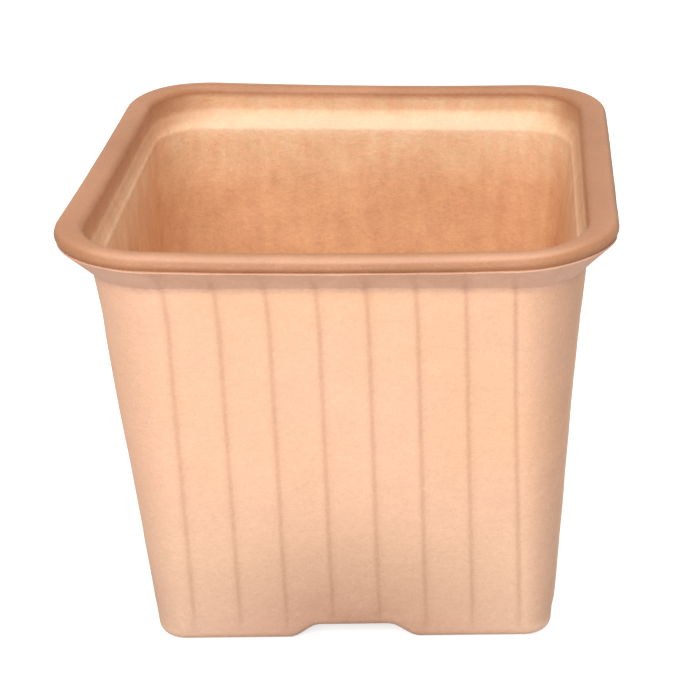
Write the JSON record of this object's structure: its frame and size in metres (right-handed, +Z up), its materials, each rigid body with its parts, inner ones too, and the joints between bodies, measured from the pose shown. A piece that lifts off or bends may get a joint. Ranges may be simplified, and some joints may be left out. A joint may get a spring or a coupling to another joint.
{
  "type": "peat pot",
  "caption": "Square tapered plant pot of moulded fibre, with upright ribs, a rolled rim and a raised drain cross under the floor.",
  "frame": {"origin": "middle of the footprint, on the surface that the pot stands on", "axes": "+Z up out of the mouth, X and Y square to the sides; the side seen in the picture faces -Y"},
  "size_m": [0.18, 0.18, 0.15],
  "materials": {
    "moulded_fibre": "matt, finely fibrous"
  },
  "bodies": {
    "root": {"moulded_pot": "moulded_fibre"}
  },
  "joints": []
}
